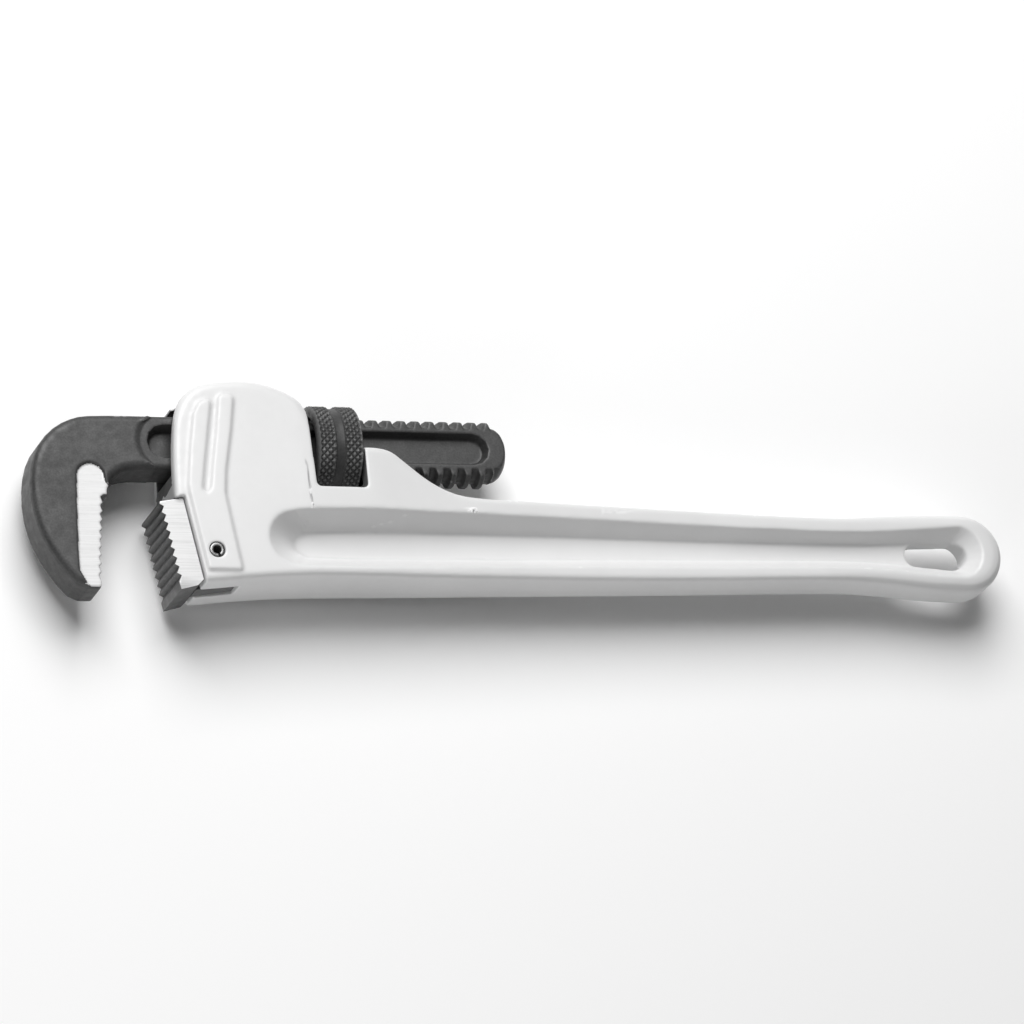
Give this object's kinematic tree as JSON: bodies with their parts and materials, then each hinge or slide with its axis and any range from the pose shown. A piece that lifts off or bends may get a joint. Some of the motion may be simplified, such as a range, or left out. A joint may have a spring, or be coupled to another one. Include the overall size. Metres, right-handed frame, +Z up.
{
  "type": "pipe wrench",
  "caption": "Adjustable pipe wrench with an I-section cast alloy handle, a toothed hook jaw on a threaded shank, a knurled nut and a pinned heel jaw.",
  "frame": {"origin": "centre of the bottom of the wrench's box, lying on its side with the jaws open as set", "axes": "+X from the jaws to the end of the handle, +Y from the jaws' open side up to the top of the head, +Z up through the wrench's thickness"},
  "size_m": [0.3504, 0.0752, 0.0314],
  "materials": {
    "handle_alloy": "cast, blasted and clear coated, satin",
    "hook_steel": "black phosphated forging, ground bright beside the teeth",
    "heel_steel": "ground sides, dark hardened teeth",
    "pin_steel": "rolled spring steel",
    "nut_steel": "black oxide, diamond knurled",
    "spring_steel": "blued spring steel"
  },
  "bodies": {
    "housing": {"handle_housing": "handle_alloy", "heel_jaw": "heel_steel", "heel_jaw_pin": "pin_steel", "coil_spring": "spring_steel"},
    "rocker": {"flat_spring": "spring_steel"},
    "jaw": {"hook_jaw": "hook_steel"},
    "nut": {"adjusting_nut": "nut_steel"}
  },
  "joints": [
    {"name": "jaw_rock", "type": "hinge", "parent": "housing", "child": "rocker", "pos_m": [-0.06755, 0.01656, 0.0157], "axis": [0, 0, -1], "range_deg": [0, 3], "stiffness_Nm_per_rad": 2, "springref_deg": -2.86, "deforming": ["coil_spring"]},
    {"name": "jaw_slide", "type": "slide", "parent": "rocker", "child": "jaw", "axis": [1, 0, 0], "range_m": [-0.04, 0.0175]},
    {"name": "nut_spin", "type": "hinge", "parent": "rocker", "child": "nut", "pos_m": [-0.06755, 0.01656, 0.0157], "axis": [1, 0, 0], "range_deg": [-1245, 2840]}
  ],
  "couplings": [
    {"joint": "nut_spin", "follows": "jaw_slide", "rad_per_m": -1236.8}
  ]
}
